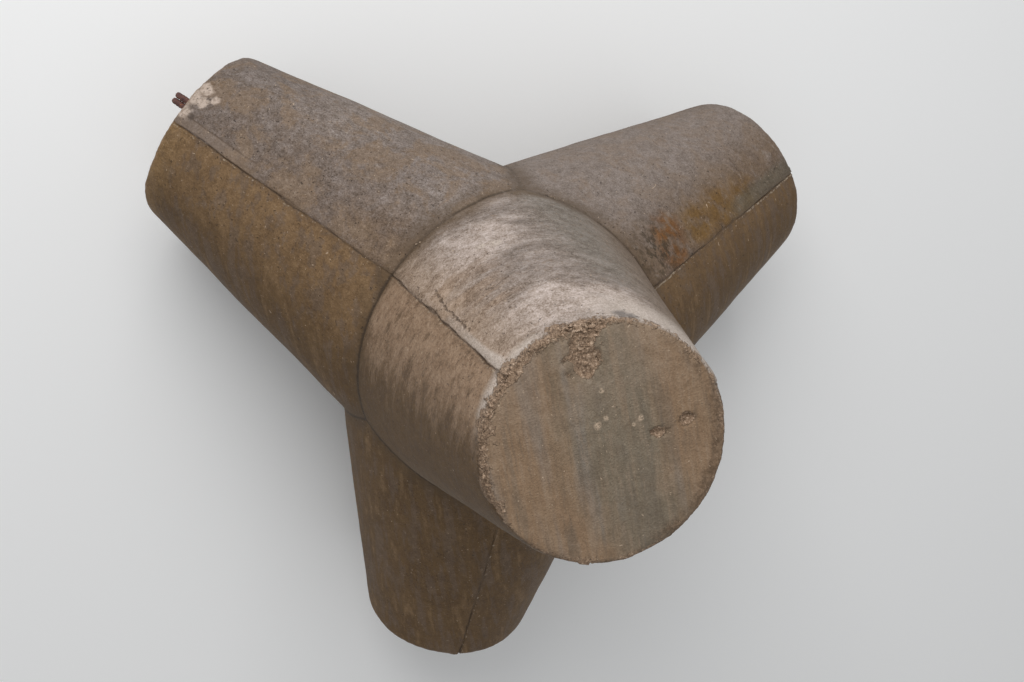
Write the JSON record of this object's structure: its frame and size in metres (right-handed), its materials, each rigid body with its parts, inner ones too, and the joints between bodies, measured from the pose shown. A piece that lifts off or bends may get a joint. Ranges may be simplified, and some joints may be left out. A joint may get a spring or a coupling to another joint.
{
  "type": "concrete tetrapod",
  "caption": "Four-legged cast concrete wave-breaking block with tapered round legs and a lifting loop of ribbed bar in one leg end.",
  "frame": {"origin": "point where the four leg axes meet, which is the centre of mass", "axes": "+Z along the leg that points up as the block stands; the leg with the lifting loop runs out over -X"},
  "size_m": [2.1373, 2.3364, 1.9169],
  "materials": {
    "concrete": "matte",
    "rusty_bar": "matte"
  },
  "bodies": {
    "root": {"concrete_body": "concrete", "lifting_bar_inner": "rusty_bar", "lifting_bar_outer": "rusty_bar"}
  },
  "joints": []
}
